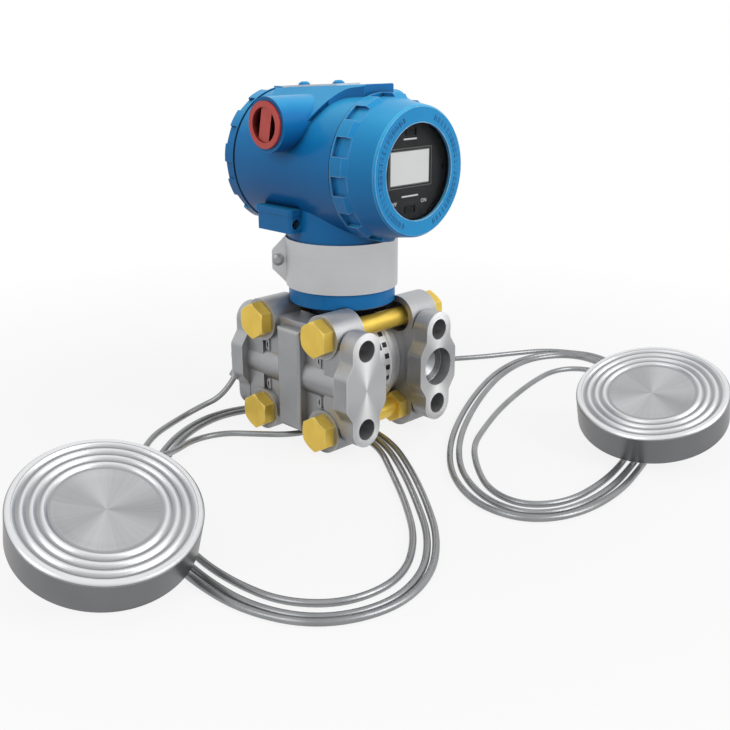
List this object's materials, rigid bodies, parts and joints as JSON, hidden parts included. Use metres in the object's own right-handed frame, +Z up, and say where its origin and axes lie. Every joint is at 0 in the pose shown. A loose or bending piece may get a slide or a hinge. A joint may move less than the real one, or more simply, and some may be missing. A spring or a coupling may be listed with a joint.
{
  "type": "differential pressure transmitter with remote seals",
  "caption": "Pressure transmitter: round electronics housing with window cover on a neck, bolted process flanges below, coiled capillaries to flat diaphragm seals.",
  "frame": {"origin": "on the floor under the axis of the neck, where the flanges' lower bolt bosses stand", "axes": "+Z up along the neck, the display and the manifold pads face -Y, the flange bolts lie along X with their heads and the high side at -X"},
  "size_m": [0.413, 0.2407, 0.1829],
  "materials": {
    "cast_steel": "cast and machined",
    "yellow_zinc": "yellow zinc plated",
    "capsule_steel": "turned",
    "stainless": "satin",
    "capillary_steel": "drawn",
    "blue_paint": "painted die casting",
    "red_plastic": "moulded",
    "black_plastic": "fine grain",
    "switch_plastic": "moulded",
    "seal_rubber": "matt",
    "window": "clear",
    "liquid_crystal": "gloss"
  },
  "bodies": {
    "sensor_module": {"high_side_flange": "cast_steel", "low_side_flange": "cast_steel", "flange_bolts": "yellow_zinc", "flange_nuts": "yellow_zinc", "lower_lock_nuts": "yellow_zinc", "sensor_capsule": "capsule_steel", "process_diaphragms": "capsule_steel", "capsule_gaskets": "seal_rubber", "sensor_neck": "blue_paint", "tag_collar": "stainless", "collar_screw": "stainless", "collar_nut": "stainless", "high_capillary_adapter": "stainless", "low_capillary_adapter": "stainless", "high_capillary_lead": "capillary_steel", "high_capillary_tail": "capillary_steel", "low_capillary_lead": "capillary_steel", "low_capillary_tail": "capillary_steel", "high_capillary_coil": "capillary_steel", "low_capillary_coil": "capillary_steel", "high_seal_body": "stainless", "high_seal_diaphragm": "stainless", "high_seal_connector": "stainless", "low_seal_body": "stainless", "low_seal_diaphragm": "stainless", "low_seal_connector": "stainless"},
    "electronics_housing": {"housing": "blue_paint", "rotation_lock_screw": "stainless", "top_plate": "stainless", "top_plate_screws": "stainless", "electronics_module": "black_plastic", "display_module": "black_plastic", "display_glass": "liquid_crystal", "display_screws": "stainless", "terminal_block": "black_plastic", "terminal_screws": "stainless"},
    "left_plug": {"left_conduit_plug": "red_plastic"},
    "right_plug": {"right_conduit_plug": "red_plastic"},
    "alarm_slider": {"alarm_switch": "switch_plastic"},
    "security_slider": {"security_switch": "switch_plastic"},
    "front_seal_ring": {"front_cover_seal": "seal_rubber"},
    "front_cover_set": {"front_cover": "blue_paint", "window_glass": "window", "window_gasket": "seal_rubber", "window_retainer": "stainless"},
    "rear_seal_ring": {"rear_cover_seal": "seal_rubber"},
    "rear_cover_set": {"rear_cover": "blue_paint"}
  },
  "joints": [
    {"name": "housing_turn", "type": "hinge", "parent": "sensor_module", "child": "electronics_housing", "pos_m": [0, 0, 0.092], "axis": [0, 0, 1], "range_deg": [-180, 180]},
    {"name": "front_cover_slide", "type": "slide", "parent": "electronics_housing", "child": "front_seal_ring", "axis": [0, -1, 0], "range_m": [0, 0.009]},
    {"name": "front_cover_turn", "type": "hinge", "parent": "front_seal_ring", "child": "front_cover_set", "pos_m": [0, -0.041, 0.1425], "axis": [0, -1, 0], "range_deg": [0, 2160]},
    {"name": "rear_cover_slide", "type": "slide", "parent": "electronics_housing", "child": "rear_seal_ring", "axis": [0, 1, 0], "range_m": [0, 0.009]},
    {"name": "rear_cover_turn", "type": "hinge", "parent": "rear_seal_ring", "child": "rear_cover_set", "pos_m": [0, 0.048, 0.1425], "axis": [0, 1, 0], "range_deg": [0, 2160]},
    {"name": "left_plug_pull", "type": "slide", "parent": "electronics_housing", "child": "left_plug", "axis": [-1, 0, 0], "range_m": [0, 0.02]},
    {"name": "right_plug_pull", "type": "slide", "parent": "electronics_housing", "child": "right_plug", "axis": [1, 0, 0], "range_m": [0, 0.02]},
    {"name": "alarm_slide", "type": "slide", "parent": "electronics_housing", "child": "alarm_slider", "axis": [1, 0, 0], "range_m": [0, 0.003]},
    {"name": "security_slide", "type": "slide", "parent": "electronics_housing", "child": "security_slider", "axis": [1, 0, 0], "range_m": [0, 0.003]}
  ],
  "couplings": [
    {"joint": "front_cover_slide", "follows": "front_cover_turn", "m_per_rad": 0.000238},
    {"joint": "rear_cover_slide", "follows": "rear_cover_turn", "m_per_rad": 0.000238}
  ]
}
